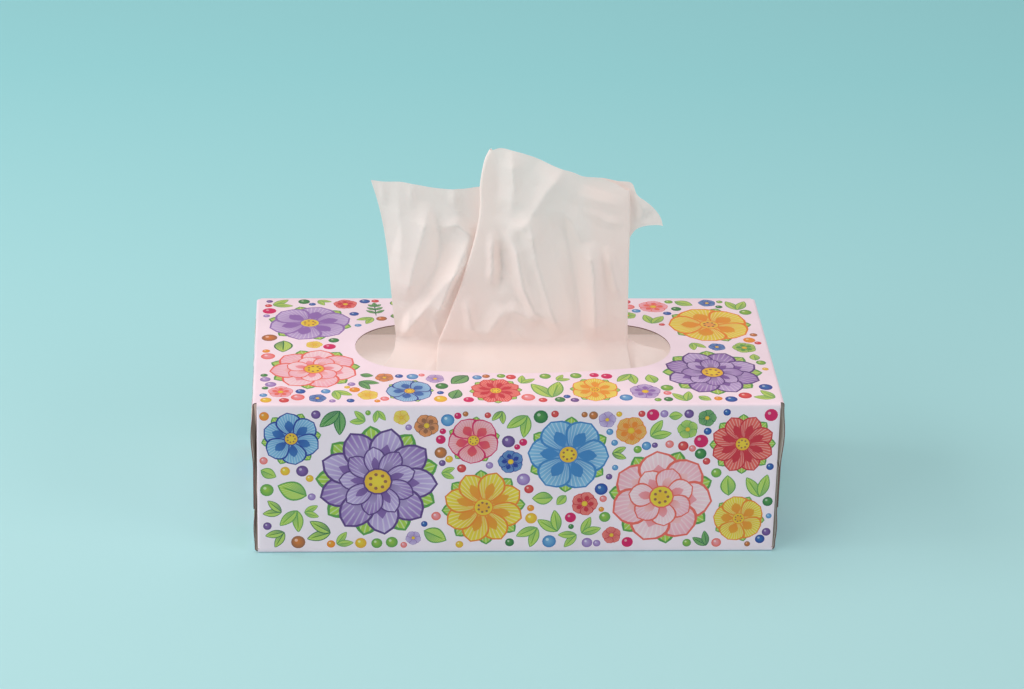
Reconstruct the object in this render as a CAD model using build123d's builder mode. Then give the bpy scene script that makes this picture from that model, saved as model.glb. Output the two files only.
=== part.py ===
from build123d import *

import os
from math import cos, pi, radians, sin, sqrt

# A flat carton of interfolded facial tissues, with one tissue pulled up through its opening.
# Millimetres, +Z up. X runs along the carton, -Y is its front, and the origin is the middle of its base.

os.makedirs("parts", exist_ok=True)

# Carton: the panels of the folded blank
carton_length = 230.0  # front and back panels, between their end creases
carton_depth = 116.0  # top and bottom panels, over the long creases
carton_height = 73.0  # front and back panels, over the long creases
board = 0.45  # thickness of the paperboard
crease_radius = 1.2  # outside of a folded crease
top_crown = 1.6  # rise of the full carton's top at its middle

# Opening: the die-cut oval in the top
opening_length = 143.0
opening_width = 58.4
opening_end_radius = 24.0
opening_setback = 1.0  # its middle lies this far behind the top's

# Ends: dust flaps inside, then the bottom's flap, then the top's flap glued over it
top_flap_length = 52.0
bottom_flap_length = 41.0
dust_flap_length = 44.0
dust_flap_clearance = 2.0  # above and below a dust flap
end_gap = 0.9  # between the dust flaps and the flap that closes over them
top_flap_bulge = 1.0
bottom_flap_bulge = 0.5
flap_side_clearance = 0.7
seam_flap_width = 14.0
seam_flap_inset = 4.0

# Stack of interfolded sheets
stack_end_clearance = 6.0  # to the folds of the end creases
stack_side_clearance = 4.0  # to the outside of the front and back panels
headspace = 12.5  # over the stack, to the outside of the top creases
stack_crown = 2.5
stack_side_bulge = 1.0
stack_fold_radius = 7.0

# Raised tissue: a two-ply sheet, pleated where the opening gathers it
sheet_width = 210.0  # across the carton's length
ply_thickness = 0.35  # both plies with their emboss
raised_height = 96.0  # from its middle fold to the highest point
pleat_depth = 3.5
turn_radius = 1.5  # of the sheet where a pleat turns back
turn_flats = 4  # creased flats that a turn is made of
tucked_turn_radius = 0.5
lap_clearance = 0.6  # skirt to the stack's top
middle_fold_y = 3.0
bend_clearance = 0.5  # middle fold above the opening

# Carton
half_length = carton_length / 2
half_depth = carton_depth / 2
wall_radius = crease_radius - board
flat_top = carton_depth - 2 * crease_radius
crown_shares = [-1, -0.5, 0, 0.5, 1]  # of half the length, at the sections of the crowned top
flap_width = flat_top - 2 * flap_side_clearance
stack_length = carton_length - 2 * stack_end_clearance
stack_depth = carton_depth - 2 * stack_side_clearance
stack_height = carton_height - headspace
bottom_flap_x = half_length + end_gap + board / 2
top_flap_x = bottom_flap_x + board
bend_radius = crease_radius - board / 2
overrun = carton_height

# Ovals of four arcs: two round ends, and two long sides tangent to them
end_reach = opening_length / 2 - opening_end_radius
half_opening = opening_width / 2
side_radius = (end_reach**2 + half_opening**2 - opening_end_radius**2) / (
    2 * (half_opening - opening_end_radius)
)
side_centre = side_radius - half_opening
centre_gap = sqrt(end_reach**2 + side_centre**2)
joint_x = end_reach + opening_end_radius * end_reach / centre_gap
joint_y = opening_end_radius * side_centre / centre_gap

with BuildPart() as carton:
    # Tube of the four long panels, creased round its corners
    with BuildSketch(Plane.YZ) as tube_section:
        with Locations((0, carton_height / 2)):
            RectangleRounded(carton_depth, carton_height, crease_radius)
            RectangleRounded(
                carton_depth - 2 * board, carton_height - 2 * board, wall_radius, mode=Mode.SUBTRACT
            )
        with Locations((0, carton_height)):
            Rectangle(flat_top, 2 * board, mode=Mode.SUBTRACT)
    extrude(amount=half_length, both=True)

    # Top panel, crowned between its creases
    for crown_share in crown_shares:
        rise = top_crown * (1 - crown_share**2)
        with BuildSketch(Plane.YZ.offset(crown_share * half_length)) as crown_section:
            with BuildLine():
                Spline(
                    (-flat_top / 2, carton_height),
                    (0, carton_height + rise),
                    (flat_top / 2, carton_height),
                )
                Line((flat_top / 2, carton_height), (flat_top / 2, carton_height - board))
                Spline(
                    (flat_top / 2, carton_height - board),
                    (0, carton_height - board + rise),
                    (-flat_top / 2, carton_height - board),
                )
                Line((-flat_top / 2, carton_height - board), (-flat_top / 2, carton_height))
            make_face()
    loft()

    # Oval opening
    with BuildSketch(Plane((0, opening_setback, carton_height / 2))) as opening:
        with BuildLine():
            ThreePointArc((joint_x, -joint_y), (opening_length / 2, 0), (joint_x, joint_y))
            ThreePointArc((joint_x, joint_y), (0, half_opening), (-joint_x, joint_y))
            ThreePointArc((-joint_x, joint_y), (-opening_length / 2, 0), (-joint_x, -joint_y))
            ThreePointArc((-joint_x, -joint_y), (0, -half_opening), (joint_x, -joint_y))
        make_face()
    extrude(amount=overrun, mode=Mode.SUBTRACT)

    # Seam flap glued inside the back panel, all along the bottom crease
    with BuildSketch(Plane.XZ.offset(-(half_depth - board))) as seam_flap:
        with BuildLine():
            Polyline(
                (-half_length, crease_radius),
                (half_length, crease_radius),
                (half_length - seam_flap_inset, seam_flap_width),
                (-half_length + seam_flap_inset, seam_flap_width),
                close=True,
            )
        make_face()
    extrude(amount=board)

    # Dust flaps, creased in from the ends of the front and back panels
    dust_flap_height = carton_height - 2 * dust_flap_clearance
    for end in (-1, 1):
        for side in (-1, 1):
            wall_end = end * (half_length - crease_radius)
            wall_middle = side * (half_depth - board / 2)
            flap_x = end * (half_length - board / 2)
            flap_y = side * (half_depth - crease_radius)
            with Locations((wall_end + end * crease_radius / 2, wall_middle, carton_height / 2)):
                Box(crease_radius, board, dust_flap_height, mode=Mode.SUBTRACT)
            with BuildSketch(Plane.XY.offset(dust_flap_clearance)) as dust_flap:
                with BuildLine() as dust_flap_line:
                    TangentArc((wall_end, wall_middle), (flap_x, flap_y), tangent=(end, 0))
                    Line((flap_x, flap_y), (flap_x, side * (half_depth - dust_flap_length)))
                trace(line_width=board)
            extrude(amount=dust_flap_height)

    # Bottom and top flaps at each end, bulging a little between their crease and their glued edge
    glue_top = bottom_flap_length
    glue_bottom = carton_height - top_flap_length
    for end in (-1, 1):
        with BuildSketch(Plane.XZ) as end_flaps:
            for x, crease, inward, glue_near, glue_far, bulge in (
                (bottom_flap_x, board / 2, 1, glue_bottom, glue_top, bottom_flap_bulge),
                (top_flap_x, carton_height - board / 2, -1, glue_top, glue_bottom, top_flap_bulge),
            ):
                with BuildLine() as flap_line:
                    fold = crease + inward * bend_radius
                    Line((end * half_length, crease), (end * (x - bend_radius), crease))
                    TangentArc(
                        (end * (x - bend_radius), crease), (end * x, fold), tangent=(end, 0)
                    )
                    Spline(
                        (end * x, fold),
                        (end * (x + bulge), (fold + glue_near) / 2),
                        (end * x, glue_near),
                        tangents=[(0, inward), (0, inward)],
                    )
                    Line((end * x, glue_near), (end * x, glue_far))
                trace(line_width=board)
        extrude(amount=flap_width / 2, both=True)
carton.part.label = "carton"

# Stack of interfolded tissues, softly squared, with its folds along the front and back
with BuildPart() as tissue_stack:
    with BuildSketch(Plane.YZ) as stack_section:
        with BuildLine():
            low, high = board, board + stack_height
            edge = stack_depth / 2 - stack_side_bulge
            Line((-edge, low), (edge, low))
            ThreePointArc((edge, low), (edge + stack_side_bulge, (low + high) / 2), (edge, high))
            ThreePointArc((edge, high), (0, high + stack_crown), (-edge, high))
            ThreePointArc((-edge, high), (-edge - stack_side_bulge, (low + high) / 2), (-edge, low))
        make_face()
        fillet(stack_section.vertices(), radius=stack_fold_radius)
    extrude(amount=stack_length / 2, both=True)
tissue_stack.part.label = "tissue_stack"

# Raised tissue, as sections across the sheet from its left edge to its right one. The left layer runs
# behind the front one, turns back, and turns again at the front layer's left fold. The front layer
# turns back at its right fold, and turns again into the back layer, which ends at the right edge.
# Shares across are of half the sheet's width, and shares forward are of the pleats' depth.
half_sheet = sheet_width / 2
standing_turn_shares = [-0.045, -0.135, 0.465, 0.330]
middle_turn_shares = [-0.150, -0.300, 0.462, 0.310]
hanging_turn_shares = [-0.330, -0.390, 0.520, 0.470]
standing_left_shares = [(-0.629, 0.3), (-0.450, 0.7), (-0.270, -0.3)]
middle_left_shares = [(-0.514, -0.3), (-0.440, -0.5), (-0.350, -0.2)]
hanging_left_shares = [(-0.980, 0.0), (-0.760, 0.0), (-0.540, 0.0)]
standing_front_shares = [(-0.020, 1.0), (0.160, 1.5), (0.330, 0.9)]
middle_front_shares = [(-0.140, 0.5), (0.060, 0.8), (0.300, 0.5)]
hanging_front_shares = [(-0.180, 0.0), (0.070, 0.0), (0.300, 0.0)]
standing_back_shares = [(0.500, -0.4), (0.650, 0.2)]
middle_back_shares = [(0.460, -0.3), (0.740, -0.5)]
hanging_back_shares = [(0.720, 0.0), (0.980, 0.0)]

# Outline of the standing part: the left layer's top, the fold's rise, the front layer's top, and
# the upper and lower side of the corner that sticks out. Shares up are of the raised height.
rim_shares = [
    [(-0.70, 0.85), (-0.617, 0.842), (-0.494, 0.834), (-0.359, 0.807), (-0.219, 0.803), (-0.147, 0.823)],
    [(-0.147, 0.823), (-0.136, 0.893), (-0.124, 0.952), (-0.074, 0.997)],
    [(-0.074, 0.997), (0.031, 0.968), (0.160, 0.908), (0.352, 0.849), (0.490, 0.824)],
    [(0.490, 0.824), (0.548, 0.745), (0.592, 0.699), (0.630, 0.6135)],
    [(0.630, 0.6135), (0.552, 0.6135), (0.519, 0.598), (0.490, 0.557)],
]
flange_shares = [(0.490, 0.030), (0.680, -0.014), (1.0, -0.014)]


def mix(a, b, share):
    return a + (b - a) * share


def between(first, second, share):
    """A table of shares part of the way from one section's to another's."""
    if isinstance(first, (int, float)):
        return mix(first, second, share)
    return [between(a, b, share) for a, b in zip(first, second)]


def sheet_edges(left, turn, front, back, radius, side):
    """One face of the pleated sheet across a section, half its thickness to a side of its middle:
    layers and turns, from its left edge to its right one."""
    aside = side * ply_thickness / 2
    level = 2 * radius
    right, wrong = (1, 0), (-1, 0)
    bends = []
    for k, across in enumerate(turn):
        tip = 1 if k % 2 == 0 else -1
        rise = 1 if k < 2 else -1
        reach = radius - tip * rise * aside
        centre = Vector(across * half_sheet, -radius if k in (0, 3) else radius)
        angles = [pi * step / turn_flats for step in range(turn_flats + 1)]
        bends.append(
            [centre + reach * Vector(tip * sin(angle), -rise * cos(angle)) for angle in angles]
        )

    def spots(places, height):
        return [Vector(x * half_sheet, height + y * pleat_depth + aside) for x, y in places]

    edges = [Spline(*spots(left, -level), bends[0][0], tangents=[right, right])]
    for k, bend in enumerate(bends):
        edges += [Line(start, end) for start, end in zip(bend, bend[1:])]
        if k == 1:
            edges.append(Spline(bend[-1], *spots(front, level), bends[2][0], tangents=[right, right]))
        elif k < 3:
            edges.append(Spline(bend[-1], bends[k + 1][0], tangents=[wrong, wrong]))
    edges.append(Spline(bends[3][-1], *spots(back, -level), tangents=[right, right]))
    return edges


# Sections down the sheet, from above its standing edge to its hanging one
opening_top = carton_height + bend_clearance
inner_front = board - half_depth
tucked_y = (inner_front - stack_depth / 2) / 2
lap_z = board + stack_height + 2 * turn_radius + lap_clearance
lap_turn_radius = (turn_radius + tucked_turn_radius) / 2
# Standing: shares of the raised height, and of the way from the middle fold to the standing edge
standing_shares = [1.05, 0.7, 0.35, 0.08]
# Lapped over the stack: shares of the way forward and down from the opening, the degrees that the
# sheet leans forward of straight down, and the share of the way to the hanging edge
lap_shares = [(0.06, 0.12, 50, 0.06), (0.4, 0.5, 78, 0.4), (0.85, 0.85, 74, 0.8)]
# Tucked down before the stack: the same, with the shares down being of the stack's height
corner_share = (0.957, 0.04, 45, 0.88)
tucked_shares = [(1, 0.16, 0, 0.95), (1, 0.5, 0, 1), (1, 0.84, 0, 1)]

# Each section's y, z, lean, share of the way to its edge (below zero when hanging) and turn radius
sections = [
    (middle_fold_y, opening_top + up * raised_height, 0, up, turn_radius) for up in standing_shares
]
for forward, down, lean, share in lap_shares:
    place = (mix(middle_fold_y, tucked_y, forward), mix(opening_top, lap_z, down))
    sections.append((*place, lean, -share, turn_radius))
for forward, down, lean, share in (corner_share, *tucked_shares):
    place = (mix(middle_fold_y, tucked_y, forward), lap_z - down * stack_height)
    sections.append((*place, lean, -share, lap_turn_radius if lean else tucked_turn_radius))

# Outline of the sheet at each section, edge by edge, so that like edges are joined down the sheet
outlines = []
for y, z, lean, share, radius in sections:
    down = (0, -sin(radians(lean)), -cos(radians(lean)))
    left_edge = hanging_left_shares if share < 0 else standing_left_shares
    turn_places = hanging_turn_shares if share < 0 else standing_turn_shares
    front_layer = hanging_front_shares if share < 0 else standing_front_shares
    back_layer = hanging_back_shares if share < 0 else standing_back_shares
    pleats = (
        between(middle_left_shares, left_edge, abs(share)),
        between(middle_turn_shares, turn_places, abs(share)),
        between(middle_front_shares, front_layer, abs(share)),
        between(middle_back_shares, back_layer, abs(share)),
        radius,
    )
    with BuildLine() as outline:
        near = sheet_edges(*pleats, 1)
        far = sheet_edges(*pleats, -1)
        left_cut = Line(near[0] @ 0, far[0] @ 0)
        right_cut = Line(near[-1] @ 1, far[-1] @ 1)
    place = Plane((0, y, z), x_dir=(1, 0, 0), z_dir=down).location
    outlines.append([place * edge for edge in (*near, *far, left_cut, right_cut)])

strips = [
    Face.make_surface_from_curves(upper, lower)
    for above, below in zip(outlines, outlines[1:])
    for upper, lower in zip(above, below)
]
ends = [Face(Wire.combine(outline)[0]) for outline in (outlines[0], outlines[-1])]
with BuildPart() as raised_tissue:
    add(Solid(Shell(strips + ends)))
    # Standing edge, cut along its outline, and the right edge below the corner that sticks out
    with BuildSketch(Plane.XZ) as outside:
        with BuildLine():
            rims = [
                [(x * half_sheet, opening_top + z * raised_height) for x, z in rim] for rim in rim_shares
            ]
            for rim in rims:
                Spline(*rim)
            Polyline(
                rims[-1][-1],
                *[(x * half_sheet, opening_top + z * raised_height) for x, z in flange_shares],
                (half_sheet, opening_top + 2 * raised_height),
                (-half_sheet, opening_top + 2 * raised_height),
                (-half_sheet, rims[0][0][1]),
                rims[0][0],
            )
        make_face()
    extrude(amount=half_depth, both=True, mode=Mode.SUBTRACT)
raised_tissue.part.label = "raised_tissue"

for piece in (carton, tissue_stack, raised_tissue):
    export_step(piece.part, f"parts/{piece.part.label}.step")
    print(piece.part.label, len(piece.part.solids()), piece.part.is_valid, piece.part.volume)
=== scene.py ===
import math
import random

import bmesh
import bpy
import numpy as np
from mathutils import Matrix, Vector
from mathutils.geometry import delaunay_2d_cdt


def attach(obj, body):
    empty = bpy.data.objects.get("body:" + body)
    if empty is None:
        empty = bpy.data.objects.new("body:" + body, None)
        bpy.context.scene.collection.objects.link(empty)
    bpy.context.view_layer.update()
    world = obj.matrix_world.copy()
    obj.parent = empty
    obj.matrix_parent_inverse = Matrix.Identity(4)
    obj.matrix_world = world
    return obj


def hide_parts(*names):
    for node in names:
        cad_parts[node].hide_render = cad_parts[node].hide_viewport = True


# Looks of a carton of facial tissues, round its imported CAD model.
# Metres, in the CAD's frame: X along the carton, -Y its front, +Z up, origin in the middle of its base.

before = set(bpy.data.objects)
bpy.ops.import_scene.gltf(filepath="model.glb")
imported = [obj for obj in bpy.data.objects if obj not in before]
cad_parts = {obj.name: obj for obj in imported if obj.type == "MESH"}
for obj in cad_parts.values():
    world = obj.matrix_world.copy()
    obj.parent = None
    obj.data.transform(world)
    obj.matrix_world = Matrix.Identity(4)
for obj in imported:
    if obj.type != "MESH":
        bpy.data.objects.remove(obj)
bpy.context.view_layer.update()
MM = 0.001


# Floor and light: a wide sheet of aqua paper lies under the carton. Five large softboxes light it from
# above, from the left and from the right, and a pale room fills the shadows.

def linear(red, green, blue):
    """A colour of 0 to 255 as a screen shows it, in the scene's linear light."""
    parts = [c / 255 for c in (red, green, blue)]
    return (*(c / 12.92 if c <= 0.04045 else ((c + 0.055) / 1.055) ** 2.4 for c in parts), 1.0)


class Signal:
    """A socket's output, so that a shader's maths reads as an expression."""

    def __init__(self, paint, socket):
        self.paint, self.socket = paint, socket

    def maths(self, operation, first, second=0.0):
        return self.paint.node("ShaderNodeMath", {"operation": operation}, {0: first, 1: second})

    def __add__(self, other):
        return self.maths("ADD", self, other)

    def __radd__(self, other):
        return self.maths("ADD", other, self)

    def __mul__(self, other):
        return self.maths("MULTIPLY", self, other)

    def __rmul__(self, other):
        return self.maths("MULTIPLY", other, self)

    def __pow__(self, other):
        return self.maths("POWER", self, other)


class Paint:
    """A material and the nodes in it."""

    def __init__(self, name):
        self.material = bpy.data.materials.new(name)
        self.material.use_nodes = True
        self.tree = self.material.node_tree
        self.tree.nodes.clear()

    def node(self, kind, settings=None, values=None, output=0):
        """Adds a node, sets its properties and its sockets, and returns one of its outputs."""
        made = self.tree.nodes.new(kind)
        for name, value in (settings or {}).items():
            setattr(made, name, value)
        for name, value in (values or {}).items():
            if isinstance(value, Signal):
                self.tree.links.new(value.socket, made.inputs[name])
            else:
                made.inputs[name].default_value = value
        return Signal(self, made.outputs[output])

    def noise(self, scale, detail, roughness=0.5, stretch=(1, 1, 1)):
        place = self.node("ShaderNodeTexCoord", output="Object")
        place = self.node("ShaderNodeMapping", {}, {"Vector": place, "Scale": stretch})
        values = {"Vector": place, "Scale": scale, "Detail": detail, "Roughness": roughness}
        return self.node("ShaderNodeTexNoise", {}, values)

    def blend(self, share, first, second):
        """A colour between two."""
        return self.node("ShaderNodeMix", {"data_type": "RGBA"}, {0: share, 6: first, 7: second}, output=2)

    def dimmed(self, colour, share):
        return self.node("ShaderNodeVectorMath", {"operation": "SCALE"}, {"Vector": colour, "Scale": share})

    def bump(self, height, distance, strength):
        return self.node("ShaderNodeBump", {}, {"Height": height, "Distance": distance, "Strength": strength})

    def surface(self, shader):
        out = self.tree.nodes.new("ShaderNodeOutputMaterial")
        self.tree.links.new(shader.socket, out.inputs["Surface"])
        return self.material


floor_width = 9.0
bpy.ops.mesh.primitive_plane_add(size=floor_width, location=(0, floor_width / 4, 0))
floor = bpy.context.object
floor.name = "floor"
paper = Paint("aqua_paper")
place = paper.node("ShaderNodeNewGeometry")
away = paper.node("ShaderNodeSeparateXYZ", {}, {"Vector": place}, output=1)
away = paper.node("ShaderNodeMapRange", {}, {"Value": away, "From Min": -0.05, "From Max": 0.6})
near_tone, far_tone = linear(183, 230, 233), linear(160, 227, 232)
values = {
    "Base Color": paper.blend(away + paper.noise(1.2, 1.0) * 0.1, near_tone, far_tone),
    "Roughness": 0.85,
    "Specular IOR Level": 0.2,
    "Normal": paper.bump(paper.noise(900, 2.0), 0.0001, 0.2),
}
floor.data.materials.append(paper.surface(paper.node("ShaderNodeBsdfPrincipled", {}, values)))


def softbox(name, place, aim, size, power, colour):
    """A square lamp with a soft cover, turned to what it lights."""
    lamp = bpy.data.lights.new(name, "AREA")
    lamp.shape = "RECTANGLE"
    lamp.size, lamp.size_y = size
    lamp.energy = power
    lamp.color = colour
    made = bpy.data.objects.new(name, lamp)
    made.location = place
    made.rotation_euler = (Vector(aim) - Vector(place)).to_track_quat("-Z", "Y").to_euler()
    bpy.context.scene.collection.objects.link(made)


softbox("overhead", (-0.1, -0.15, 1.25), (0, 0, 0), (1.2, 0.9), 2.6, (1.0, 0.95, 0.93))
softbox("overhead_back", (-0.1, 0.55, 1.3), (0, 0.05, 0.05), (1.2, 0.7), 1.8, (1.0, 0.94, 0.91))
softbox("left_front", (-1.5, -1.1, 1.0), (0, 0, 0.06), (1.0, 0.8), 7.6, (1.0, 0.95, 0.94))
softbox("left", (-1.4, 0.0, 0.8), (0, 0, 0.08), (0.9, 0.8), 8.4, (1.0, 0.93, 0.92))
softbox("right_front", (1.6, -0.9, 0.9), (0, 0, 0.06), (1.0, 0.8), 6.0, (1.0, 0.94, 0.93))
world = bpy.data.worlds.new("room")
world.use_nodes = True
room_light = world.node_tree.nodes["Background"].inputs
room_light["Color"].default_value = (1.0, 0.975, 0.965, 1.0)
room_light["Strength"].default_value = 0.44
bpy.context.scene.world = world

# Camera: a long lens, a little left of the carton's middle, looking down at it
camera_place = (-0.08674, -1.39708, 0.71478)
yaw, pitch, roll = 0.0616, 0.4285, 0.0251
focal_pixels, picture_width, sensor_width = 3397.87, 1024, 36.0
camera_data = bpy.data.cameras.new("camera")
camera_data.sensor_width = sensor_width
camera_data.lens = focal_pixels / picture_width * sensor_width
camera = bpy.data.objects.new("camera", camera_data)
ahead = Vector((math.sin(yaw) * math.cos(pitch), math.cos(yaw) * math.cos(pitch), -math.sin(pitch)))
beside = Vector((math.cos(yaw), -math.sin(yaw), 0))
upward = beside.cross(ahead)
right = math.cos(roll) * beside + math.sin(roll) * upward
up = -math.sin(roll) * beside + math.cos(roll) * upward
camera_turn = Matrix((right, up, -ahead)).transposed().to_4x4()
camera.matrix_world = Matrix.Translation(camera_place) @ camera_turn
bpy.context.scene.collection.objects.link(camera)
bpy.context.scene.camera = camera
bpy.context.scene.view_settings.view_transform = "Standard"

# Carton: one blank of white-lined board, printed with flowers and leaves, varnished, die-cut and
# creased. It is laid out flat, printed as inked areas, and folded up round the CAD's panels. In the
# flat, s runs from the middle of the top panel down over the front, in millimetres.

half_length, depth, height, board = 115.0, 116.0, 73.0, 0.45
crease, crown = 1.2, 1.6
half_flat = depth / 2 - crease
bend = crease * math.pi / 2
front_top = half_flat + bend
front_low = front_top + height - 2 * crease
base_front = front_low + bend
base_back = base_front + 2 * half_flat
base_middle = (base_front + base_back) / 2
flap_play = 0.7
half_flap = half_flat - flap_play
end_flaps = {  # outside of the flap, length down the end, bulge, glued edge nearest its crease
    "top": (116.8, 52.0, 1.0, 32.0),
    "base": (116.35, 41.0, 0.5, 21.0),
}
dust_start, dust_inset, dust_length = half_length - crease, 0.8, 42.8
seam_start, seam_width = base_back + 5.0, 12.8


def fold_tube(x, s):
    """Where a point of the flat goes on the carton's four long panels."""
    side, d = (-1 if s > 0 else 1), abs(s)
    if d <= half_flat:
        rise = crown * max(0.0, 1 - (x / half_length) ** 2) * (1 - (s / half_flat) ** 2)
        return x, -s, height + rise
    if d <= front_top:
        turn = (d - half_flat) / crease
        return x, side * (half_flat + crease * math.sin(turn)), height - crease + crease * math.cos(turn)
    if d <= front_low:
        return x, side * depth / 2, height - crease - (d - front_top)
    if d <= base_front:
        turn = (d - front_low) / crease
        return x, side * (half_flat + crease * math.cos(turn)), crease - crease * math.sin(turn)
    return x, -half_flat + (d - base_front), 0.0


def fold_end(x, s, kind):
    """Where a point of an end flap goes, down the end from the top panel or up it from the base."""
    outside, reach, bulge, glued = end_flaps[kind]
    end, run = math.copysign(1, x), abs(x) - half_length
    level = outside - crease - half_length
    if run <= level:
        across, fall = abs(x), 0.0
    elif run <= level + bend:
        turn = (run - level) / crease
        across, fall = outside - crease + crease * math.sin(turn), crease - crease * math.cos(turn)
    else:
        fall = crease + run - level - bend
        share = min(1.0, (fall - crease) / (glued - crease))
        across = outside + bulge * math.sin(math.pi * share) ** 2
    if kind == "top":
        return end * across, -s, height - fall
    return end * across, s - base_middle, fall


def fold_dust(x, s):
    """Where a point of a dust flap goes, in from the end of the front or back panel."""
    end, run = math.copysign(1, x), abs(x) - dust_start
    side, z = (-1 if s > 0 else 1), height - crease - (abs(s) - front_top)
    if run <= bend:
        turn = run / crease
        return end * (dust_start + crease * math.sin(turn)), side * (half_flat + crease * math.cos(turn)), z
    return end * half_length, side * (half_flat - (run - bend)), z


def fold_seam(x, s):
    """Where a point of the seam flap goes, up the inside of the back panel."""
    return x, depth / 2 - board, crease + s - seam_start


def rectangle(x0, x1, s0, s1):
    return [(x0, s0), (x1, s0), (x1, s1), (x0, s1)]


def ring(points):
    """An outline and the same one mirrored left to right, joined."""
    return points + [(-x, s) for x, s in reversed(points)]


def oval(half_x, half_y, end_radius, middle_s, steps=18):
    """An oval of four arcs."""
    reach = half_x - end_radius
    side_radius = (reach**2 + half_y**2 - end_radius**2) / (2 * (half_y - end_radius))
    drop = side_radius - half_y
    joint = math.atan2(drop, reach)
    quarter = [
        (reach + end_radius * math.cos(joint * k / steps), end_radius * math.sin(joint * k / steps))
        for k in range(steps)
    ]
    for k in range(steps + 1):
        turn = joint + (math.pi / 2 - joint) * k / steps
        quarter.append((side_radius * math.cos(turn), side_radius * math.sin(turn) - drop))
    mirrored = [(-x, y) for x, y in reversed(quarter[:-1])]
    upper = quarter + mirrored
    return [(x, middle_s + y) for x, y in upper] + [(x, middle_s - y) for x, y in reversed(upper[1:-1])]


opening_half_x, opening_half_y, opening_end_radius, opening_middle = 71.5, 29.2, 24.0, -1.0
opening = oval(opening_half_x, opening_half_y, opening_end_radius, opening_middle)
# Circles that together cover it, so that nothing is strewn there
opening_rounds = [(x, opening_middle, 29) for x in range(-50, 51, 10)]
opening_rounds += [(x, opening_middle, 23) for x in (-47, 47)]

# Tiles of the flat. Each is cut along its own outline, and folds by its own rule.
tiles = []  # (outline, fold, points inside that its curve needs)
unprinted = []  # those that lie hidden under others


def strips(x0, x1, stops, fold, along_x=False):
    """Narrow tiles that bend one after another round a crease."""
    for near, far in zip(stops, stops[1:]):
        outline = rectangle(near, far, x0, x1) if along_x else rectangle(x0, x1, near, far)
        tiles.append((outline, fold, []))


quarters = [k / 4 for k in range(5)]
# Steps that the top panel's crown takes over half its length and half its width
x_steps, s_steps = 12, 6
crown_points = [
    (half_length * (i / x_steps - 1), half_flat * (j / s_steps - 1))
    for i in range(1, 2 * x_steps)
    for j in range(1, 2 * s_steps)
]
crown_points = [(x, s) for x, s in crown_points if abs(x) > opening_half_x or abs(s) > opening_half_y]
top_panel = ring(
    [(half_length * i / x_steps, -half_flat) for i in range(1, x_steps + 1)]
    + [(half_length, half_flap * j / s_steps) for j in range(-s_steps, s_steps + 1)]
    + [(half_length * i / x_steps, half_flat) for i in range(x_steps, 0, -1)]
)
tiles.append((top_panel, fold_tube, crown_points))
notch = [front_top, front_top + dust_inset, front_low - dust_inset, front_low]
wall_end = [(half_length, notch[0]), (half_length, notch[1]), (dust_start, notch[1]), (dust_start, notch[2])]
wall_end += [(half_length, notch[2]), (half_length, notch[3])]
tiles.append((ring(wall_end), fold_tube, []))
tiles.append(([(x, -s) for x, s in ring(wall_end)], fold_tube, []))
base_stops = (base_front, base_middle - half_flap, base_middle + half_flap, base_back)
base_end = [(half_length, s) for s in base_stops]
tiles.append((ring(base_end), fold_tube, []))
for side in (-1, 1):
    for near in (half_flat, front_low):
        strips(-half_length, half_length, [side * (near + bend * k) for k in quarters], fold_tube)
flap_steps = 12
for end in (-1, 1):
    for middle, kind in ((0.0, "top"), (base_middle, "base")):
        outside, reach, bulge, glued = end_flaps[kind]
        level = outside - crease

        def fold(x, s, kind=kind):
            return fold_end(x, s, kind)

        low, high = middle - half_flap, middle + half_flap
        stops = [end * x for x in [half_length, *[level + bend * k for k in quarters]]]
        strips(low, high, stops, fold, along_x=True)
        foot = level + bend
        tip, free_edge = foot + glued - crease, foot + reach - crease
        xs = [end * (foot + (tip - foot) * k / flap_steps) for k in range(1, flap_steps + 1)]
        places = [low + (high - low) * k / flap_steps for k in range(1, flap_steps)]
        inside = [(x, s) for x in xs for s in places] + [(x, s) for s in (low, high) for x in xs]
        flap = [(end * x, s) for x, s in [(foot, low), (free_edge, low), (free_edge, high), (foot, high)]]
        tiles.append((flap, fold, inside))
    for side in (-1, 1):
        near, far = side * notch[1], side * notch[2]
        strips(near, far, [end * (dust_start + bend * k) for k in quarters], fold_dust, along_x=True)
        flap = rectangle(end * (dust_start + bend), end * (dust_start + bend + dust_length), near, far)
        tiles.append((flap, fold_dust, []))
        unprinted.append(tiles[-1])
seam_taper = 4
seam = ring([(half_length, seam_start), (half_length - seam_taper, seam_start + seam_width)])
tiles.append((seam, fold_seam, []))
unprinted.append(tiles[-1])

inks = {
    "ground": linear(253, 231, 242), "white": linear(252, 246, 244), "green": linear(96, 158, 74),
    "forest": linear(42, 112, 66), "lime": linear(176, 204, 72), "yellow": linear(238, 214, 62),
    "gold": linear(232, 168, 48), "orange": linear(238, 132, 44), "coral": linear(238, 104, 92),
    "red": linear(206, 44, 62), "magenta": linear(216, 22, 98), "pink": linear(244, 172, 188),
    "blush": linear(250, 214, 222), "lilac": linear(198, 172, 218), "violet": linear(148, 108, 178),
    "plum": linear(96, 60, 128), "sky": linear(138, 186, 222), "blue": linear(66, 128, 190),
    "navy": linear(40, 58, 150), "brown": linear(158, 100, 72),
}
chance = random.Random(11)
motifs = []  # (place, radius, shapes), with a shape's outline, its two inks and what lay_ink says


def lay_ink(outline, near, far, origin, span, angle=0.0, veins=0):
    """A shape in a motif: its ink at an origin and at a distance from it, and veins that fan from there."""
    motifs[-1][2].append((outline, inks[near], inks[far], origin, span, angle, veins))


def toward(place, angle, distance):
    """A place in a direction from another."""
    return (place[0] + distance * math.cos(angle), place[1] + distance * math.sin(angle))


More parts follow.
